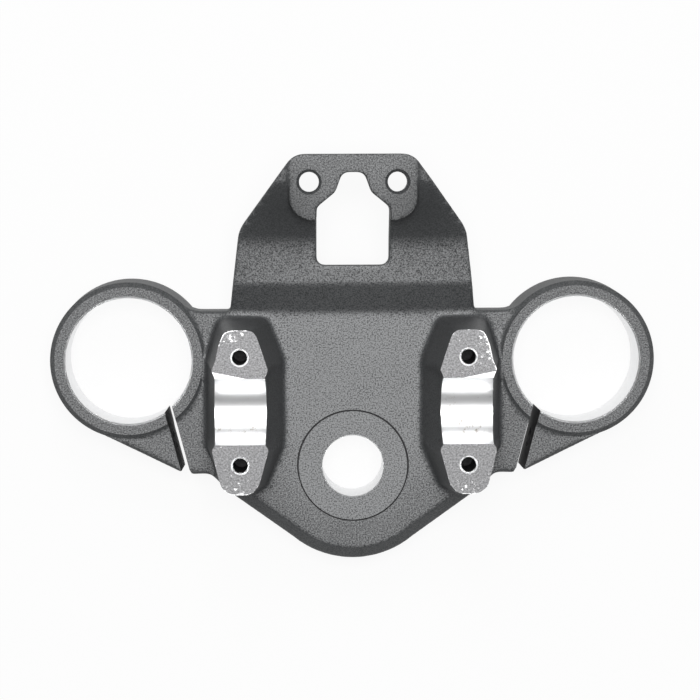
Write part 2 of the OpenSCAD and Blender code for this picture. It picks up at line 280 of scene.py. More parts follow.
@dataclass
class ForkClamp:
    """One split clamp ring: what fills it before softening, and what is machined into it."""

    side: Side
    foot_r: float = 27.4 * MM
    ring_r: float = 26.8 * MM
    height: float = 24 * MM
    chamfer: float = 1.6 * MM
    foot_chamfer: float = 1 * MM
    rim: float = 0.6 * MM
    ear_top: float = 22.5 * MM
    ear_foot: float = 2 * MM
    ear_length: float = 19.5 * MM
    cut_length: float = 32 * MM
    proud: float = 0.03 * MM
    slit_w: float = 3 * MM
    fill_share: float = 1.2
    bore_overlap: float = 3 * MM
    slit_lean: float = 0.8 * MM
    slit_angle: float = math.radians(14.8)
    slit_offset: float = 8.7 * MM
    pinch_reach: float = 31 * MM
    pinch_z: float = 12 * MM
    pinch_tap_r: float = 2.5 * MM
    pinch_clear_r: float = 3.3 * MM
    pinch_head_r: float = 5.5 * MM
    pinch_grip: float = 8 * MM
    pinch_tap_depth: float = 14 * MM
    pinch_past: float = 40 * MM
    margin: float = 1 * MM

    def __post_init__(self) -> None:
        """Takes the bore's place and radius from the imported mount."""
        entry = mount(f"fork_bore_{self.side.name.lower()}")
        self.axis = Vector((entry["pos_m"][0], entry["pos_m"][1], 0))
        self.bore_r = entry["dims"]["r_mm"] * MM
        turn = self.slit_angle
        self.across = Vector((self.side.value * math.cos(turn), -math.sin(turn), 0))
        self.along = Vector((-self.side.value * math.sin(turn), -math.cos(turn), 0))
        self.slit_middle = self.axis - self.slit_offset * self.across

    def fillers(self) -> list[bpy.types.Object]:
        """Solids that close the bore and the slit, flush with the casting.

        Returns:
            The drafted ring without its bore, and a bar along the slit.
        """
        low = self.axis + Vector((0, 0, self.foot_chamfer))
        wall_h = self.height - self.chamfer - self.foot_chamfer
        wall = taper(self.foot_r, self.ring_r, low, wall_h)
        crown_at = low + Vector((0, 0, wall_h))
        crown = taper(self.ring_r, self.ring_r - self.chamfer, crown_at, self.chamfer)
        foot = taper(self.foot_r - self.foot_chamfer, self.foot_r, self.axis, self.foot_chamfer)
        bar = self.slit_bar(self.slit_w * self.fill_share, self.ear_foot, self.ear_top, self.ear_length)
        return [wall, crown, foot, bar]

    def clearance(self, at: Vector) -> float:
        """How clear of the ring a point is.

        Args:
            at: The point.

        Returns:
            0 on the ring, 1 from a little outside it.
        """
        away = math.hypot(at.x - self.axis.x, at.y - self.axis.y) - self.ring_r
        return held(away / self.margin)

    def crown(self) -> list[bpy.types.Object]:
        """The ring's upper half as it is turned on a lathe, crisp and a hair proud of the softened one.

        Returns:
            The drafted wall, and the chamfered top on it.
        """
        middle = self.axis + Vector((0, 0, self.height / 2))
        wall_h = self.height / 2 - self.chamfer
        edge_r = self.ring_r + self.proud
        return [
            taper((edge_r + self.foot_r) / 2, edge_r, middle, wall_h, RING_SIDES),
            taper(edge_r, edge_r - self.chamfer, middle + Vector((0, 0, wall_h)), self.chamfer,
                  RING_SIDES),
        ]

    def slit_bar(self, width: float, low: float, high: float, length: float) -> bpy.types.Object:
        """A bar along the slit, from inside the bore outwards.

        Args:
            width: Its width.
            low: Its underside.
            high: Its top.
            length: How far it reaches past the bore.

        Returns:
            The bar.
        """
        start, end = self.bore_r - self.bore_overlap, self.bore_r + length
        centre = self.slit_middle + self.along * (start + end) / 2
        centre.z = (low + high) / 2
        turn = math.atan2(self.along.y, self.along.x)
        return block(Vector((end - start, width, high - low)), centre, turn)

    def bore_cutters(self) -> list[bpy.types.Object]:
        """What leaves bare metal: the bore with its rims.

        Returns:
            The cutters.
        """
        reach = Vector((0, 0, self.margin))
        top = self.axis + Vector((0, 0, self.height))
        bore = rod(self.bore_r, self.axis - reach, top + reach, BORE_SIDES)
        rims = [
            taper(self.bore_r, self.bore_r + self.rim + self.margin, top - Vector((0, 0, self.rim)),
                  self.rim + self.margin, BORE_SIDES),
            taper(self.bore_r + self.rim + self.margin, self.bore_r, self.axis - reach,
                  self.rim + self.margin, BORE_SIDES),
        ]
        return [bore, *rims]

    def slit_cutters(self) -> list[bpy.types.Object]:
        """The slit, narrower at its foot, and the pinch bolt's tapped hole, clearance hole and seat.

        Returns:
            One cutter for each.
        """
        at = self.slit_middle + self.along * self.pinch_reach + Vector((0, 0, self.pinch_z))
        half = self.slit_w / 2
        far = at + self.across * self.pinch_past
        low, high = -self.margin, self.height + self.margin
        slit = self.slit_bar(self.slit_w, low, high, self.cut_length)
        for vertex in slit.data.vertices:
            if vertex.co.z < self.pinch_z and (vertex.co - self.slit_middle).dot(self.across) > 0:
                vertex.co -= self.slit_lean * self.across
        return [
            slit,
            rod(self.pinch_tap_r, at - self.across * (half + self.pinch_tap_depth), at, DRILL_SIDES),
            rod(self.pinch_clear_r, at, far, DRILL_SIDES),
            rod(self.pinch_head_r, at + self.across * (half + self.pinch_grip), far, HOLE_SIDES),
        ]


@dataclass
class BarRiser:
    """One handlebar riser: its flared walls, pads, round seat and tapped holes.

    Each corner of the walls has its place at the pads, its place at the foot, and the share of the
    way between them that it has gone at the seat's lowest point. A place is how far it lies inwards
    from the riser's middle, and how far to the bike's front, in millimetres.
    """

    side: Side
    corners: tuple = (
        ((-3.4, 48.3), (-6.6, 51.2), STRAIGHT),
        ((-5.3, 47.3), (-8.0, 50.2), STRAIGHT),
        ((-6.9, 43.6), (-9.8, 45.5), STRAIGHT),
        ((-8.9, 34.4), (-12.5, 36.5), STRAIGHT),
        ((-8.2, 33.0), (-12.6, 34.0), WAIST),
        ((-8.2, 10.3), (-12.5, 10.0), WAIST),
        ((-9.4, 8.6), (-12.3, 7.5), STRAIGHT),
        ((-8.0, 2.1), (-10.0, 2.5), STRAIGHT),
        ((-6.3, -4.0), (-7.8, -5.5), STRAIGHT),
        ((-3.4, -6.2), (-4.5, -8.2), STRAIGHT),
        ((3.9, -6.0), (5.0, -8.6), STRAIGHT),
        ((6.3, -3.0), (8.6, -6.5), STRAIGHT),
        ((9.5, 8.6), (14.6, 8.0), STRAIGHT),
        ((8.2, 10.3), (14.9, 11.0), WAIST),
        ((8.2, 33.0), (14.7, 34.0), WAIST),
        ((9.4, 34.9), (14.2, 38.0), STRAIGHT),
        ((7.3, 41.4), (11.8, 43.8), STRAIGHT),
        ((5.5, 46.6), (9.4, 49.8), STRAIGHT),
        ((4.0, 48.2), (8.2, 51.2), STRAIGHT),
    )
    pad_z: float = 51 * MM
    pad_w: float = 18.8 * MM
    cradle_w: float = 16.4 * MM
    wall_lean: float = math.radians(3)
    stock: float = 1.5 * MM
    tap_r: float = 2.5 * MM
    tap_depth: float = 20 * MM
    pad_clear: float = 20 * MM
    sink: float = 0.6 * MM
    plug_r: float = 4 * MM
    pad_low_y: float = -6.4 * MM
    pad_high_y: float = 48.4 * MM
    plate_top: float = 22.5 * MM
    foot_z: float = 21 * MM
    foot_reach: float = 4 * MM
    skim_length: float = 2.2 * MM
    skim_depth: float = 0.3 * MM
    skim_share: float = 0.6

    def __post_init__(self) -> None:
        """Takes the bolts' and the bar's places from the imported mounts."""
        bolts, seat = mount("cap_bolts"), mount("handlebar_seat")
        self.x = self.side.value * bolts["dims"]["spacing_x_mm"] / 2 * MM
        self.bolt_ys = [
            bolts["pos_m"][1] + end * bolts["dims"]["spacing_y_mm"] / 2 * MM for end in (-1, 1)
        ]
        self.bar_y, self.bar_z = seat["pos_m"][1], seat["pos_m"][2]
        self.bar_r = seat["dims"]["r_mm"] * MM

    def fillers(self) -> list[bpy.types.Object]:
        """Stock over the seat and in the tapped holes, to be machined away.

        Returns:
            The seat's filling and a plug for each tapped hole.
        """
        low = self.bar_z - self.bar_r - self.stock
        plugs = [
            rod(self.plug_r, Vector((self.x, y, self.pad_z - self.tap_depth - self.stock)),
                Vector((self.x, y, self.pad_z + self.stock)), PLUG_SIDES)
            for y in self.bolt_ys
        ]
        return [self.seat_stock(low), self.walls(), *plugs]

    def walls(self) -> bpy.types.Object:
        """The flared walls with the wide foot that the mould leaves.

        Returns:
            A closed solid from below the plate's top to above the pads.
        """
        seat_low = self.bar_z - self.bar_r
        levels = [self.foot_z, seat_low, self.pad_z, self.pad_z + self.stock]
        outlines = [[] for _ in levels]
        for pad, foot, share in self.corners:
            pad_at, foot_at = Vector(pad), Vector(foot)
            for outline, z, at in zip(
                    outlines, levels, (foot_at, pad_at.lerp(foot_at, share), pad_at, pad_at)):
                outline.append(Vector((self.x - self.side.value * at.x * MM, at.y * MM, z)))
        storeys = [loft(low, high) for low, high in zip(outlines, outlines[1:])]
        return joined(storeys, "riser_walls")

    def foot_share(self, at: Vector) -> float:
        """How much a point belongs to the riser's foot.

        Args:
            at: The point.

        Returns:
            1 at the foot's edge, falling to 0 away from it.
        """
        inwards = (self.x - at.x) * self.side.value / MM
        feet = [foot for _, foot, _ in self.corners]
        away = MM * max(
            max(min(spots) - place, place - max(spots))
            for spots, place in zip(zip(*feet), (inwards, at.y / MM))
        )
        up = abs(at.z - self.plate_top)
        return held(1 - away / self.foot_reach) * held(2 - 2 * up / self.foot_reach)

    def seat_stock(self, low: float) -> bpy.types.Object:
        """A block with the riser's own draft that fills the seat to above the pads.

        Args:
            low: Its underside.

        Returns:
            The block.
        """
        high = self.pad_z + self.stock
        span = 2 * (self.bar_r + self.stock)
        stock = block(Vector((self.cradle_w, span, high - low)),
                      Vector((self.x, self.bar_y, (low + high) / 2)))
        for vertex in stock.data.vertices:
            half = self.cradle_w / 2 + (self.pad_z - vertex.co.z) * math.tan(self.wall_lean)
            vertex.co.x = self.x + math.copysign(half, vertex.co.x - self.x)
        return stock

    def skim_cutter(self) -> bpy.types.Object:
        """A shallow slanting cut that the seat's machining left at the front pad's outer side.

        Returns:
            A three-sided prism.
        """
        edge = self.bar_y + math.sqrt(self.bar_r ** 2 - (self.bar_z - self.pad_z) ** 2)
        inner = self.x + self.side.value * self.pad_w * (0.5 - self.skim_share)
        outer = inner + self.side.value * self.pad_w * 2 * self.skim_share
        corners = [
            Vector((outer, edge + 2 * self.skim_length, self.pad_z)),
            Vector((inner, edge, self.pad_z)),
            Vector((outer, edge - self.stock, self.pad_z - self.skim_depth)),
        ]
        return loft(corners, [corner + Vector((0, 0, 2 * self.stock)) for corner in corners])

    def seat_cutter(self) -> bpy.types.Object:
        """The bar itself, which leaves its round seat.

        Returns:
            A rod across the riser.
        """
        half = Vector((self.pad_w, 0, 0))
        centre = Vector((self.x, self.bar_y, self.bar_z))
        return rod(self.bar_r, centre - half, centre + half, SEAT_SIDES)

    def sink_cutters(self) -> list[bpy.types.Object]:
        """The bare countersinks of the tapped holes.

        Returns:
            One cutter for each hole.
        """
        return [
            taper(self.tap_r, self.tap_r + 2 * self.sink,
                  Vector((self.x, y, self.pad_z - self.sink)), 2 * self.sink, HOLE_SIDES)
            for y in self.bolt_ys
        ]

    def tap_cutters(self) -> list[bpy.types.Object]:
        """The tapped holes below their countersinks.

        Returns:
            One cutter for each hole.
        """
        return [
            rod(self.tap_r, Vector((self.x, y, self.pad_z - self.tap_depth)),
                Vector((self.x, y, self.pad_z + self.stock)), HOLE_SIDES)
            for y in self.bolt_ys
        ]

    def pad_cutter(self) -> bpy.types.Object:
        """The plane that faces both pads.

        Returns:
            A block whose underside is that plane.
        """
        size = Vector((2 * self.pad_w, 2 * (self.pad_high_y - self.pad_low_y), self.pad_clear))
        middle = (self.pad_low_y + self.pad_high_y) / 2
        return block(size, Vector((self.x, middle, self.pad_z + size.z / 2)))


@dataclass
class StemBoss:
    """The stem's bore and the shallow machined face round it."""

    height: float = 22.5 * MM
    face_r: float = 19 * MM
    face_depth: float = 0.5 * MM
    fill_r: float = 19.4 * MM
    face_clear: float = 10 * MM
    groove_r: float = 0.42 * MM
    groove_sides: int = 12
    rim: float = 0.3 * MM
    margin: float = 1 * MM

    def __post_init__(self) -> None:
        """Takes the bore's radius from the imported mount."""
        self.bore_r = mount("stem_bore")["dims"]["r_mm"] * MM

    def fillers(self) -> list[bpy.types.Object]:
        """Solids that close the bore and the face.

        Returns:
            A plug through the boss.
        """
        return [rod(self.fill_r, Vector((0, 0, 0)), Vector((0, 0, self.height)))]

    def face_cutter(self) -> bpy.types.Object:
        """The shallow face under the stem nut.

        Returns:
            A disc that reaches down to the face.
        """
        low = Vector((0, 0, self.height - self.face_depth))
        return rod(self.face_r, low, low + Vector((0, 0, self.face_clear)), SEAT_SIDES)

    def groove_cutter(self) -> bpy.types.Object:
        """The thin groove in the corner round the face, painted near black as the corner's painted
        shadow, which runs out at the bike's front.

        Returns:
            A thin ring tilted a little, so that its front lifts off the face.
        """
        tilt = math.asin(self.groove_r / self.face_r)
        deselect()
        bpy.ops.mesh.primitive_torus_add(
            major_segments=SEAT_SIDES,
            minor_segments=self.groove_sides,
            major_radius=self.face_r,
            minor_radius=self.groove_r,
            location=(0, 0, self.height - self.face_depth + self.groove_r / 3),
            rotation=(tilt / 2, 0, 0),
        )
        return place_in_mesh(bpy.context.object)

    def cutters(self) -> list[bpy.types.Object]:
        """The bore and its upper rim.

        Returns:
            One cutter for each.
        """
        face = self.height - self.face_depth
        return [
            rod(self.bore_r, Vector((0, 0, -self.margin)), Vector((0, 0, face + self.margin))),
            taper(self.bore_r, self.bore_r + self.rim + self.margin,
                  Vector((0, 0, face - self.rim)), self.rim + self.margin),
        ]


@dataclass
class BracketBoss:
    """The bolt holes in the raised boss of the front bracket."""

    boss_z: float = 49 * MM
    fill_depth: float = 5 * MM
    sink: float = 0.9 * MM
    margin: float = 1 * MM

    def __post_init__(self) -> None:
        """Takes the holes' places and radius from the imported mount."""
        entry = mount("bracket_bolts")
        self.hole_r = entry["dims"]["hole_r_mm"] * MM
        half = entry["dims"]["spacing_x_mm"] / 2 * MM
        self.spots = [Vector((end * half, entry["pos_m"][1], self.boss_z)) for end in (-1, 1)]

    def fillers(self) -> list[bpy.types.Object]:
        """A plug for each hole.

        Returns:
            The plugs.
        """
        down = Vector((0, 0, self.fill_depth))
        return [rod(self.hole_r + self.margin, spot - down, spot, DRILL_SIDES) for spot in self.spots]

    def cutters(self) -> list[bpy.types.Object]:
        """The holes with their countersinks.

        Returns:
            Two cutters for each hole.
        """
        cutters = []
        for spot in self.spots:
            down, up = Vector((0, 0, self.boss_z / 2)), Vector((0, 0, self.margin))
            cutters.append(rod(self.hole_r, spot - down, spot + up, HOLE_SIDES))
            cutters.append(taper(self.hole_r, self.hole_r + self.sink + self.margin,
                                 spot - Vector((0, 0, self.sink)), self.sink + self.margin,
                                 HOLE_SIDES))
        return cutters


class Number:
    """A number in a shader: expressions on it add the Math nodes that work them out."""

    def __init__(self, shader: "Shader", socket: bpy.types.NodeSocket) -> None:
        """Wraps a socket of a shader.

        Args:
            shader: The shader that takes the Math nodes.
            socket: The socket that gives the number.
        """
        self.shader = shader
        self.socket = socket

    def _math(self, operation: str, first: object, second: object) -> "Number":
        """One Math node on two values.

        Args:
            operation: The node's operation.
            first: The first number.
            second: The second number.

        Returns:
            The result.
        """
        node = self.shader.node("ShaderNodeMath", {"operation": operation}, {0: first, 1: second})
        return Number(self.shader, node.outputs[0])

    def __add__(self, other: object) -> "Number":
        """The sum."""
        return self._math("ADD", self, other)

    def __radd__(self, other: object) -> "Number":
        """The sum with this number on the right."""
        return self._math("ADD", other, self)

    def __sub__(self, other: object) -> "Number":
        """The difference."""
        return self._math("SUBTRACT", self, other)

    def __rsub__(self, other: object) -> "Number":
        """The difference with this number on the right."""
        return self._math("SUBTRACT", other, self)

    def __mul__(self, other: object) -> "Number":
        """The product."""
        return self._math("MULTIPLY", self, other)

    def __rmul__(self, other: object) -> "Number":
        """The product with this number on the right."""
        return self._math("MULTIPLY", other, self)

    def __truediv__(self, other: object) -> "Number":
        """The quotient."""
        return self._math("DIVIDE", self, other)

    def clamped(self) -> "Number":
        """The number held between 0 and 1.

        Returns:
            The held number.
        """
        node = self.shader.node("ShaderNodeClamp", {}, {"Value": self})
        return Number(self.shader, node.outputs[0])

    def between(self, low: float, high: float) -> "Number":
        """How far the number has gone from one value to another.

        Args:
            low: Where the share is still 0.
            high: Where the share reaches 1.

        Returns:
            The share, held between 0 and 1.
        """
        return ((self - low) / (high - low)).clamped()


class Shader:
    """A material's nodes, built up one by one."""

    def __init__(self, name: str) -> None:
        """Starts an empty material with its object coordinates.

        Args:
            name: The material's name.
        """
        self.material = bpy.data.materials.new(name)
        self.material.use_nodes = True
        self.nodes = self.material.node_tree.nodes
        self.links = self.material.node_tree.links
        self.nodes.clear()
        coordinates = self.node("ShaderNodeTexCoord").outputs
        self.place, self.facing = coordinates["Object"], coordinates["Normal"]

    def node(self, kind: str, settings: dict | None = None,
             values: dict | None = None) -> bpy.types.Node:
        """Adds a node.

        Args:
            kind: The node's type.
            settings: Its own settings.
            values: Values or links for its sockets, by name or number.

        Returns:
            The node.
        """
        made = self.nodes.new(kind)
        for key, value in (settings or {}).items():
            setattr(made, key, value)
        for key, value in (values or {}).items():
            if isinstance(value, Number):
                value = value.socket
            if isinstance(value, bpy.types.NodeSocket):
                self.links.new(value, made.inputs[key])
            else:
                made.inputs[key].default_value = value
        return made

    def noise(self, size: float, detail: float = 2, rough: float = 0.5,
              stretch: tuple | None = None) -> Number:
        """A noise whose lumps are about this size.

        Args:
            size: The lumps' size in metres.
            detail: Levels of finer lumps.
            rough: How strong the finer lumps are.
            stretch: How much longer the lumps are along each axis.

        Returns:
            The noise, from 0 to 1.
        """
        place = self.place
        if stretch is not None:
            scale = tuple(1 / part for part in stretch)
            place = self.node("ShaderNodeMapping", {}, {"Vector": place, "Scale": scale}).outputs[0]
        values = {"Vector": place, "Scale": 1 / size, "Detail": detail, "Roughness": rough}
        return Number(self, self.node("ShaderNodeTexNoise", {}, values).outputs["Fac"])

    def flatness(self, steep: float, flat: float) -> Number:
        """How level the surface lies.

        Args:
            steep: The upward share of the normal at which it counts as steep.
            flat: The share from which it counts as level.

        Returns:
            0 on steep walls, 1 on level faces.
        """
        parts = self.node("ShaderNodeSeparateXYZ", {}, {0: self.facing}).outputs
        return Number(self, parts["Z"]).between(steep, flat)

    def nearness(self, spot: tuple, radius: float) -> Number:
        """How near a place lies to a spot.

        Args:
            spot: The spot's three coordinates in metres.
            radius: Where the nearness reaches 0.

        Returns:
            1 at the spot, falling evenly to 0.
        """
        values = {0: self.place, 1: spot}
        away = self.node("ShaderNodeVectorMath", {"operation": "DISTANCE"}, values).outputs["Value"]
        return (1 - Number(self, away) / radius).clamped()

    def spots(self, places: tuple) -> Number:
        """How near a place lies to any of several spots.

        Args:
            places: Pairs of a spot's three coordinates and its radius, in millimetres.

        Returns:
            The sum of the nearnesses.
        """
        return sum(
            self.nearness(tuple(part * MM for part in spot), radius * MM)
            for spot, radius in places
        )

    def blend(self, factor: Number, low: tuple, high: tuple) -> bpy.types.NodeSocket:
        """A colour between two, by a factor.

        Args:
            factor: 0 for the first, 1 for the second.
            low: The first colour, or a link.
            high: The second colour, or a link.

        Returns:
            The mixed colour's socket.
        """
        colours = [
            part if isinstance(part, bpy.types.NodeSocket) else (*part, 1) for part in (low, high)
        ]
        values = {0: factor, 6: colours[0], 7: colours[1]}
        return self.node("ShaderNodeMix", {"data_type": "RGBA"}, values).outputs[2]

    def edges(self, radius: float) -> Number:
        """How much the surface bends within a radius: 0 on a flat face, more on an edge.

        Args:
            radius: How far to look.

        Returns:
            The bend, as a number.
        """
        settings = {"samples": EDGE_SAMPLES}
        round_normal = self.node("ShaderNodeBevel", settings, {"Radius": radius}).outputs[0]
        flat_normal = self.node("ShaderNodeNewGeometry").outputs["Normal"]
        dot = self.node("ShaderNodeVectorMath", {"operation": "DOT_PRODUCT"},
                        {0: round_normal, 1: flat_normal})
        return 1 - Number(self, dot.outputs["Value"])

    def bump(self, height: Number, strength: float, distance: float) -> bpy.types.NodeSocket:
        """Raises the surface by a height.

        Args:
            height: From 0 to 1.
            strength: How strongly it shows.
            distance: What a height of 1 measures.

        Returns:
            The bent normal's socket.
        """
        values = {"Height": height, "Strength": strength, "Distance": distance}
        return self.node("ShaderNodeBump", {}, values).outputs[0]

    def surface(self, **sockets: object) -> bpy.types.Material:
        """Closes the material with its surface.

        Args:
            sockets: Values or links, by the surface sockets' names with spaces as low lines.

        Returns:
            The material.
        """
        values = {key.replace("_", " "): value for key, value in sockets.items()}
        skin = self.node("ShaderNodeBsdfPrincipled", {}, values)
        self.node("ShaderNodeOutputMaterial", {}, {"Surface": skin.outputs[0]})
        return self.material


@dataclass(frozen=True)
class CoatFinish:
    """Granular dark grey coat on level faces, smoother on slopes and walls, which take darker colours
    as painted shade; with a painted sheen round the plate's middle and painted shadow under the boss's
    lobes.
    """

    name: str = "textured_grey_coat"
    dark: tuple = (0.012, 0.013, 0.014)
    light: tuple = (0.29, 0.295, 0.30)
    # Painted sheen: level faces are lightened round a spot at the plate's middle, as a gloss highlight
    # would
    lift: float = 0.6
    # Painted shadow: the coat is darkened near these spots on the ramp under the boss's lobes
    lobe_shadows: tuple = (((-23, 87, 43), 21), ((23, 87, 43), 21))
    lobe_shadow_depth: float = 0.75
    sheen_spot: tuple = (0, 32 * MM, 24 * MM)
    sheen_reach: float = 55 * MM
    # Painted shade: darker colours for slopes and walls, standing in for the light they miss
    wall_shade_dark: tuple = (0.04, 0.042, 0.044)
    wall_shade_light: tuple = (0.12, 0.124, 0.127)
    grain: float = 0.5 * MM
    grain_band: tuple = (0.40, 0.60)
    blotch: float = 9 * MM
    blotch_share: float = 0.15
    sheen_full: float = 0.5
    wall_bump: float = 0.35
    bump_strength: float = 0.5
    bump_height: float = 0.16 * MM
    roughness: float = 0.5
    grain_roughness: float = 0.16
    # Where the painted shade of walls begins and where level faces start; these also set the grain's
    # relief
    steep: float = 0.82
    flat: float = 0.985
    metallic: float = 0.15

    def material(self) -> bpy.types.Material:
        """The coat's material.

        Returns:
            The material.
        """
        shader = Shader(self.name)
        grain = shader.noise(self.grain, detail=4, rough=0.7)
        blotch = shader.noise(self.blotch, detail=2)
        shade = shader.spots(self.lobe_shadows)
        share = self.blotch_share
        tone = (grain.between(*self.grain_band) * (1 - share) + blotch * share).clamped()
        # Painted shadow under the boss's lobes
        tone = tone * (1 - self.lobe_shadow_depth * shade)
        level = shader.flatness(self.steep, self.flat)
        # Painted shade colour for slopes and walls
        wall = shader.blend(tone, self.wall_shade_dark, self.wall_shade_light)
        # Painted sheen: lighter tone near the sheen spot, full within half its reach
        near = shader.nearness(self.sheen_spot, self.sheen_reach)
        painted_sheen = near.between(0, self.sheen_full) * self.lift
        height = grain * (self.wall_bump + (1 - self.wall_bump) * level)
        face = shader.blend((tone * (1 + painted_sheen)).clamped(), self.dark, self.light)
        return shader.surface(
            # Slopes and walls take the painted shade, blended in by how steep they lie
            Base_Color=shader.blend(level, wall, face),
            Metallic=self.metallic,
            Roughness=self.roughness + self.grain_roughness * grain,
            Normal=shader.bump(height, self.bump_strength, self.bump_height),
        )


@dataclass(frozen=True)
class BareFinish:
    """Bare machined aluminium with fine tool marks and a few stains."""

    name: str = "bare_aluminium"
    bright: tuple = (0.91, 0.915, 0.92)
    stain: tuple = (0.46, 0.42, 0.38)
    marks: float = 0.25 * MM
    marks_stretch: tuple = (12, 1, 1)
    roughness: float = 0.28
    marks_roughness: float = 0.12
    bump_strength: float = 0.2
    bump_height: float = 0.03 * MM
    spot: float = 2.2 * MM
    dirt_pull: float = 0.14
    stain_band: tuple = (0.63, 0.72)
    stained: tuple = (((-35, 15, 42), 7), ((-42, 11.5, 44), 6), ((38, 14, 42), 8), ((32, 22, 41), 6))
    metallic: float = 0.8

    def material(self) -> bpy.types.Material:
        """The bare metal's material.

        Returns:
            The material.
        """
        shader = Shader(self.name)
        marks = shader.noise(self.marks, stretch=self.marks_stretch)
        dirt = self.dirt_pull * shader.spots(self.stained)
        spots = (shader.noise(self.spot, detail=5, rough=0.8) + dirt).between(*self.stain_band)
        return shader.surface(
            Base_Color=shader.blend(spots, self.bright, self.stain),
            Metallic=self.metallic,
            Roughness=self.roughness + self.marks_roughness * marks,
            Normal=shader.bump(marks, self.bump_strength, self.bump_height),
        )


@dataclass(frozen=True)
class PadFinish:
    """Smooth light coat on the faced pads, chipped to bare metal at the edges."""

    name: str = "worn_pads"
    coat_dark: tuple = (0.11, 0.11, 0.115)
    coat_light: tuple = (0.38, 0.38, 0.385)
    chip: tuple = (0.92, 0.92, 0.93)
    grain: float = 0.6 * MM
    grain_band: tuple = (0.3, 0.7)
    chip_size: float = 1.3 * MM
    edge: float = 0.9 * MM
    edge_band: tuple = (0.02, 0.25)
    edge_pull: float = 0.08
    wear_pull: float = 0.10
    worn_edge_pull: float = 0.12
    chip_band: tuple = (0.65, 0.69)
    metallic: float = 0.3
    chip_metallic: float = 0.5
    roughness: float = 0.5
    chip_roughness: float = -0.1
    relief: float = 0.6
    bump_strength: float = 0.4
    bump_height: float = 0.08 * MM
    worn: tuple = (
        ((-39, 48.6, 51), 6),
        ((-43, 46, 51), 5),
        ((-38, -6, 51), 9),
        ((38, -6, 51), 7),
        ((45, 40, 51), 8),
        ((43, 46, 51), 6),
    )

    def material(self) -> bpy.types.Material:
        """The pads' material.

        Returns:
            The material.
        """
        shader = Shader(self.name)
        grain = shader.noise(self.grain, detail=3, rough=0.6)
        flecks = shader.noise(self.chip_size, detail=5, rough=0.75)
        edge = shader.edges(self.edge).between(*self.edge_band)
        wear = shader.spots(self.worn) * (self.wear_pull + self.worn_edge_pull * edge)
        chips = (flecks + edge * self.edge_pull + wear).between(*self.chip_band)
        coat = shader.blend(grain.between(*self.grain_band), self.coat_dark, self.coat_light)
        height = grain * self.relief - chips * self.relief
        return shader.surface(
            Base_Color=shader.blend(chips, coat, self.chip),
            Metallic=self.metallic + self.chip_metallic * chips,
            Roughness=self.roughness + self.chip_roughness * chips,
            Normal=shader.bump(height, self.bump_strength, self.bump_height),
        )


@dataclass(frozen=True)
class StemFaceFinish(CoatFinish):
    """The coat on the stem nut's face, with a weaker grain than on the plate."""

    name: str = "stem_face_coat"
    dark: tuple = (0.03, 0.032, 0.034)
    light: tuple = (0.30, 0.305, 0.31)
    # Painted sheen, here spread evenly over the whole stem face
    sheen_spot: tuple = (0, -8 * MM, 22 * MM)


@dataclass(frozen=True)
class RecessShadeFinish:
    """Near black walls of the tapped holes, the slits and the stem face's groove: painted shade where
    light hardly reaches.
    """

    name: str = "dark_recess"
    # Painted shade colours
    dark: tuple = (0.012, 0.012, 0.013)
    light: tuple = (0.05, 0.05, 0.052)
    grain: float = 1.2 * MM
    grain_band: tuple = (0.3, 0.7)
    metallic: float = 0.2
    roughness: float = 0.6
    grain_roughness: float = 0.15
    bump_strength: float = 0.3
    bump_height: float = 0.1 * MM

    def material(self) -> bpy.types.Material:
        """The recesses' material.

        Returns:
            The material.
        """
        shader = Shader(self.name)
        grain = shader.noise(self.grain, detail=3, rough=0.6)
        return shader.surface(
            Base_Color=shader.blend(grain.between(*self.grain_band), self.dark, self.light),
            Metallic=self.metallic,
            Roughness=self.roughness + self.grain_roughness * grain,
            Normal=shader.bump(grain, self.bump_strength, self.bump_height),
        )


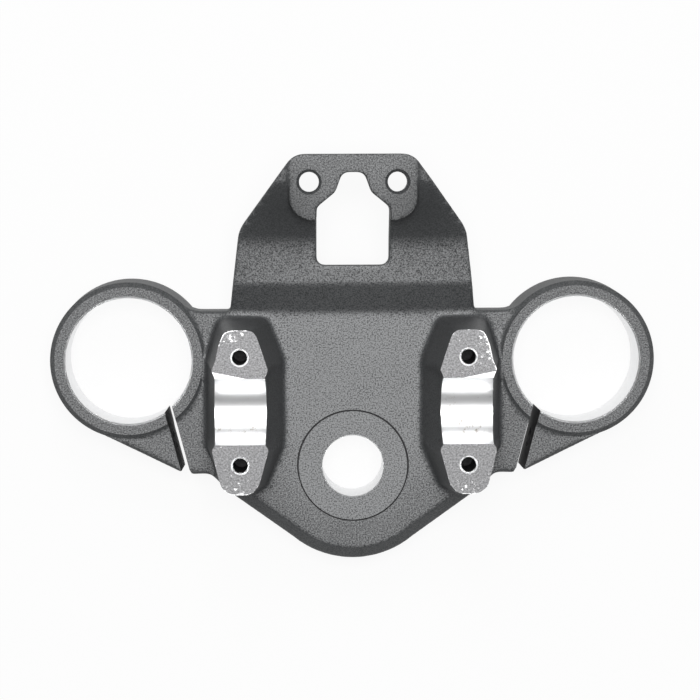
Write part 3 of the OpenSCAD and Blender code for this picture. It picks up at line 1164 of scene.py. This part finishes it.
@dataclass
class Casting:
    """The whole yoke: softened casting, then its machined faces."""

    voxel: float = 0.8 * MM
    soften_steps: int = 4
    soften_share: float = 0.5
    foot_steps: int = 14
    shelf_drop: float = 1 * MM
    shelf_blend: float = 2 * MM
    bevel_z: float = 1.5 * MM
    shelf_front: float = 11 * MM
    shelf_start: float = 46 * MM
    crease: float = math.radians(32)
    merge: float = 0.005 * MM
    level_normal: float = 0.999
    clamps: list[ForkClamp] = field(default_factory=lambda: [ForkClamp(side) for side in Side])
    risers: list[BarRiser] = field(default_factory=lambda: [BarRiser(side) for side in Side])
    stem: StemBoss = field(default_factory=StemBoss)
    boss: BracketBoss = field(default_factory=BracketBoss)
    finishes: dict = field(default_factory=lambda: {
        Skin.COAT: CoatFinish(),
        Skin.BARE: BareFinish(),
        Skin.PAD: PadFinish(),
        Skin.STEM_FACE: StemFaceFinish(),
        Skin.RECESS: RecessShadeFinish(),
    })

    def build(self) -> bpy.types.Object:
        """Makes the finished casting.

        Returns:
            The piece, with its materials.
        """
        self.skins = {skin: finish.material() for skin, finish in self.finishes.items()}
        body = self.softened(self.blank())
        self.level_shelf(body)
        self.soften_feet(body)
        body.data.materials.clear()
        body.data.materials.append(self.skins[Skin.COAT])
        for turned in [part for clamp in self.clamps for part in clamp.crown()]:
            self.shape(body, turned, Skin.COAT, "UNION")
        for skin, cutters in self.cuts():
            for cutter in cutters:
                self.shape(body, cutter, skin, "DIFFERENCE")
        pick(body)
        bpy.ops.object.shade_smooth_by_angle(angle=self.crease)
        return body

    def cuts(self) -> list[tuple[Skin, list[bpy.types.Object]]]:
        """What is machined, in the order in which it is cut.

        Returns:
            Pairs of the finish that a cut leaves and its cutters.
        """
        risers, clamps = self.risers, self.clamps
        return [
            (Skin.STEM_FACE, [self.stem.face_cutter()]),
            (Skin.RECESS, [self.stem.groove_cutter()]),
            (Skin.PAD, [riser.pad_cutter() for riser in risers]),
            (Skin.BARE, [riser.skim_cutter() for riser in risers]),
            (Skin.BARE, [riser.seat_cutter() for riser in risers]),
            (Skin.BARE, [cutter for riser in risers for cutter in riser.sink_cutters()]),
            (Skin.RECESS, [cutter for riser in risers for cutter in riser.tap_cutters()]),
            (Skin.BARE, [cutter for clamp in clamps for cutter in clamp.bore_cutters()]),
            (Skin.RECESS, [cutter for clamp in clamps for cutter in clamp.slit_cutters()]),
            (Skin.BARE, self.stem.cutters()),
            (Skin.COAT, self.boss.cutters()),
        ]

    def blank(self) -> bpy.types.Object:
        """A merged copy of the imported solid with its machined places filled.

        Returns:
            The blank, as overlapping closed shells.
        """
        copy = frame["nodes"][NODE].copy()
        copy.data = copy.data.copy()
        bpy.context.collection.objects.link(copy)
        copy.parent = None
        pick(copy)
        bpy.ops.object.mode_set(mode="EDIT")
        bpy.ops.mesh.select_all(action="SELECT")
        bpy.ops.mesh.remove_doubles(threshold=self.merge)
        bpy.ops.mesh.select_all(action="DESELECT")
        bpy.ops.object.mode_set(mode="OBJECT")
        riser = self.risers[0]
        for face in copy.data.polygons:
            at_pad = abs(face.center.z - riser.pad_z) < self.merge
            face.select = at_pad and face.normal.z > self.level_normal
        bpy.ops.object.mode_set(mode="EDIT")
        bpy.ops.mesh.extrude_region_move(TRANSFORM_OT_translate={"value": (0, 0, riser.stock)})
        bpy.ops.object.mode_set(mode="OBJECT")
        fillers = [filler for clamp in self.clamps for filler in clamp.fillers()]
        fillers += [filler for riser in self.risers for filler in riser.fillers()]
        fillers += self.stem.fillers() + self.boss.fillers()
        return joined([copy, *fillers], PIECE)

    def softened(self, blank: bpy.types.Object) -> bpy.types.Object:
        """Rounds the blank's edges and corners as a mould leaves them.

        Args:
            blank: The filled blank.

        Returns:
            The same piece, softened.
        """
        modify(blank, "REMESH", mode="VOXEL", voxel_size=self.voxel, use_smooth_shade=True)
        return modify(blank, "SMOOTH", factor=self.soften_share, iterations=self.soften_steps)

    def level_shelf(self, body: bpy.types.Object) -> None:
        """Evens out the low shelf at the clamps' ears with the plate's top.

        Args:
            body: The softened casting.
        """
        top, drop = self.stem.height, self.shelf_drop
        for vertex in body.data.vertices:
            at = vertex.co
            if at.y < self.shelf_front and abs(at.x) > self.shelf_start:
                outward = held((abs(at.x) - self.shelf_start) / self.shelf_blend)
                share = held((at.z - (top - drop - self.bevel_z)) / self.bevel_z)
                at.z += outward * share * max(0, min(drop, top - at.z))

    def soften_feet(self, body: bpy.types.Object) -> None:
        """Blends the risers' feet into the plate, as the mould's fillets do.

        Args:
            body: The softened casting.
        """
        group = body.vertex_groups.new(name="feet")
        for vertex in body.data.vertices:
            weight = max(riser.foot_share(vertex.co) for riser in self.risers)
            weight *= min(clamp.clearance(vertex.co) for clamp in self.clamps)
            if weight > 0:
                group.add([vertex.index], weight, "REPLACE")
        modify(body, "SMOOTH", factor=self.soften_share, iterations=self.foot_steps,
               vertex_group="feet")
        body.vertex_groups.remove(body.vertex_groups["feet"])

    def shape(self, body: bpy.types.Object, tool: bpy.types.Object, skin: Skin, way: str) -> None:
        """Cuts a tool's form out of the casting, or adds it, and gives its faces a finish.

        Args:
            body: The casting.
            tool: What is cut away or added.
            skin: The finish of the tool's faces.
            way: DIFFERENCE or UNION.
        """
        tool.data.materials.clear()
        tool.data.materials.append(self.skins[skin])
        modify(body, "BOOLEAN", operation=way, object=tool, solver="MANIFOLD",
               material_mode="TRANSFER")
        bpy.data.objects.remove(tool)


@dataclass
class Studio:
    """Pale floor, soft lamps and the photograph's camera over the yoke."""

    image_px: float = 700
    scale: float = 0.3415 * MM
    stem_px: tuple = (352.6, 467.0)
    overhead_px: tuple = (300.0, 170.0)
    roll: float = math.radians(0.22)
    face_z: float = 24 * MM
    distance: float = 913 * MM
    sensor: float = 36
    clip: tuple = (0.01, 100)
    lamp_size: float = 0.5
    lamp_aim: tuple = (0, 0.03, 0.02)
    front_key: tuple = ((-0.1, 0.85, 0.85), 2.6)
    overhead: tuple = ((0.0, 0.2, 1.3), 12)
    floor_size: float = 24
    floor_glow: float = 0.9
    floor_colour: tuple = (0.9, 0.9, 0.9)
    world_level: float = 0.15

    def on_face(self, px: tuple) -> Vector:
        """The point at the ring faces' height that a pixel of the photograph shows.

        Args:
            px: The pixel.

        Returns:
            The point.
        """
        return Vector(((px[0] - self.stem_px[0]) * self.scale,
                       (self.stem_px[1] - px[1]) * self.scale, self.face_z))

    def camera(self) -> None:
        """The camera, over the point where upright lines meet, aimed at the picture's middle."""
        data = bpy.data.cameras.new("camera")
        cam = bpy.data.objects.new("camera", data)
        bpy.context.collection.objects.link(cam)
        cam.location = self.on_face(self.overhead_px) + Vector((0, 0, self.distance))
        middle = self.on_face((self.image_px / 2, self.image_px / 2))
        sight = middle - cam.location
        back = -sight.normalized()
        up = Vector((math.sin(self.roll), math.cos(self.roll), 0))
        right = up.cross(back).normalized()
        cam.rotation_euler = Matrix((right, back.cross(right), back)).transposed().to_euler()
        data.sensor_width = self.sensor
        data.lens = self.sensor * sight.length / (self.image_px * self.scale)
        data.clip_start, data.clip_end = self.clip
        bpy.context.scene.camera = cam

    def floor(self) -> None:
        """A pale floor that shows white and still takes the yoke's shadow."""
        deselect()
        bpy.ops.mesh.primitive_plane_add(size=self.floor_size)
        floor = bpy.context.object
        floor.name = "floor"
        shader = Shader("pale_floor")
        path = shader.node("ShaderNodeLightPath")
        camera, glossy, through = (
            Number(shader, path.outputs[f"Is {kind} Ray"])
            for kind in ("Camera", "Glossy", "Transmission")
        )
        seen = (camera + glossy + through).clamped()
        matt = shader.node("ShaderNodeBsdfDiffuse", {}, {"Color": (*self.floor_colour, 1)})
        glow = shader.node("ShaderNodeEmission", {}, {"Color": (1, 1, 1, 1), "Strength": 1.0})
        mixed = shader.node("ShaderNodeMixShader", {},
                            {0: seen * self.floor_glow, 1: matt.outputs[0], 2: glow.outputs[0]})
        shader.node("ShaderNodeOutputMaterial", {}, {"Surface": mixed.outputs[0]})
        floor.data.materials.append(shader.material)

    def lamp(self, name: str, at: Vector, power: float) -> None:
        """A square soft lamp aimed at the yoke.

        Args:
            name: The lamp's name.
            at: Where it hangs.
            power: Its power in watts.
        """
        data = bpy.data.lights.new(name, "AREA")
        data.size, data.energy = self.lamp_size, power
        lamp = bpy.data.objects.new(name, data)
        bpy.context.collection.objects.link(lamp)
        lamp.location = at
        lamp.rotation_euler = (Vector(self.lamp_aim) - at).to_track_quat("-Z", "Y").to_euler()

    def lights(self) -> None:
        """A soft lamp overhead, a weaker one over the bike's front, and a dim even world."""
        for name, (at, power) in {"front_key": self.front_key, "overhead": self.overhead}.items():
            self.lamp(name, Vector(at), power)
        world = bpy.data.worlds.new("studio")
        world.use_nodes = True
        backdrop = world.node_tree.nodes["Background"]
        backdrop.inputs["Color"].default_value = (1, 1, 1, 1)
        backdrop.inputs["Strength"].default_value = self.world_level
        bpy.context.scene.world = world
        bpy.context.scene.view_settings.view_transform = "Standard"


def main() -> None:
    """Builds the studio and the casting, and reports each."""
    logging.basicConfig(level=logging.INFO)
    studio = Studio()
    studio.camera()
    studio.floor()
    studio.lights()
    log.info("studio ready")
    body = Casting().build()
    body.name = PIECE
    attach(body, "root")
    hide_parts(NODE)
    log.info("casting: %d faces", len(body.data.polygons))


if __name__ == "__main__":
    main()
